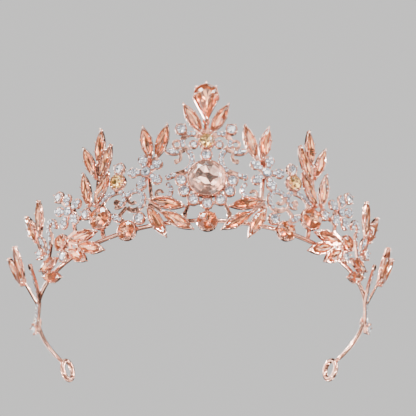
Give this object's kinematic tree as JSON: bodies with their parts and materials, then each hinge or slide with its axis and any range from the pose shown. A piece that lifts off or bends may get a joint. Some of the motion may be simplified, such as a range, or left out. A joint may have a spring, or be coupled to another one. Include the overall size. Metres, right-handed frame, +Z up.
{
  "type": "bridal tiara",
  "caption": "Rose-gold bridal tiara: a round wire hoop with curled end loops carries an upright openwork front of scrolls, flowers and leaf sprays set with peach and clear stones.",
  "frame": {"origin": "centre of the circle followed by the hoop wire, at the height of the wire's centre line", "axes": "+Z up as worn, towards the crest; -Y to the front, through the crest; X across the head, with the two halves mirrored about X = 0"},
  "size_m": [0.1718, 0.1379, 0.063],
  "materials": {
    "rose_gold": "polished rose-gold plating",
    "peach_glass": "foil-backed cut glass, peach",
    "blush_glass": "foil-backed cut glass, blush",
    "champagne_glass": "foil-backed cut glass, champagne",
    "clear_crystal": "clear cut crystal, silver foil back"
  },
  "bodies": {
    "root": {"hoop_wire": "rose_gold", "end_loop_left": "rose_gold", "end_loop_right": "rose_gold", "collar_left": "rose_gold", "collar_right": "rose_gold", "centre_frame": "rose_gold", "centre_pave": "clear_crystal", "pear_stone": "peach_glass", "crest_leaf_stones": "peach_glass", "crest_champagne_stone": "champagne_glass", "crest_crystals": "clear_crystal", "centre_stone": "blush_glass", "halo_crystals": "clear_crystal", "front_rivoli": "peach_glass", "inner_flower_left": "rose_gold", "inner_flower_right": "rose_gold", "inner_pave_left": "clear_crystal", "inner_pave_right": "clear_crystal", "inner_twin_stones_left": "peach_glass", "inner_twin_stones_right": "peach_glass", "inner_spray_left": "rose_gold", "inner_spray_right": "rose_gold", "inner_spray_stones_left": "peach_glass", "inner_spray_stones_right": "peach_glass", "mid_scroll_left": "rose_gold", "mid_scroll_right": "rose_gold", "mid_pave_left": "clear_crystal", "mid_pave_right": "clear_crystal", "mid_rivolis_left": "peach_glass", "mid_rivolis_right": "peach_glass", "mid_crystals_left": "clear_crystal", "mid_crystals_right": "clear_crystal", "mid_champagne_left": "champagne_glass", "mid_champagne_right": "champagne_glass", "fern_left": "rose_gold", "fern_right": "rose_gold", "fern_stones_left": "peach_glass", "fern_stones_right": "peach_glass", "outer_flower_left": "rose_gold", "outer_flower_right": "rose_gold", "outer_pave_left": "clear_crystal", "outer_pave_right": "clear_crystal", "outer_rivoli_left": "peach_glass", "outer_rivoli_right": "peach_glass", "outer_spray_left": "rose_gold", "outer_spray_right": "rose_gold", "outer_spray_stones_left": "peach_glass", "outer_spray_stones_right": "peach_glass", "side_scroll_left": "rose_gold", "side_scroll_right": "rose_gold", "side_pave_left": "clear_crystal", "side_pave_right": "clear_crystal", "side_leaf_stones_left": "peach_glass", "side_leaf_stones_right": "peach_glass", "end_drop_left": "rose_gold", "end_drop_right": "rose_gold", "end_pave_left": "clear_crystal", "end_pave_right": "clear_crystal", "end_leaf_stones_left": "peach_glass", "end_leaf_stones_right": "peach_glass"}
  },
  "joints": []
}
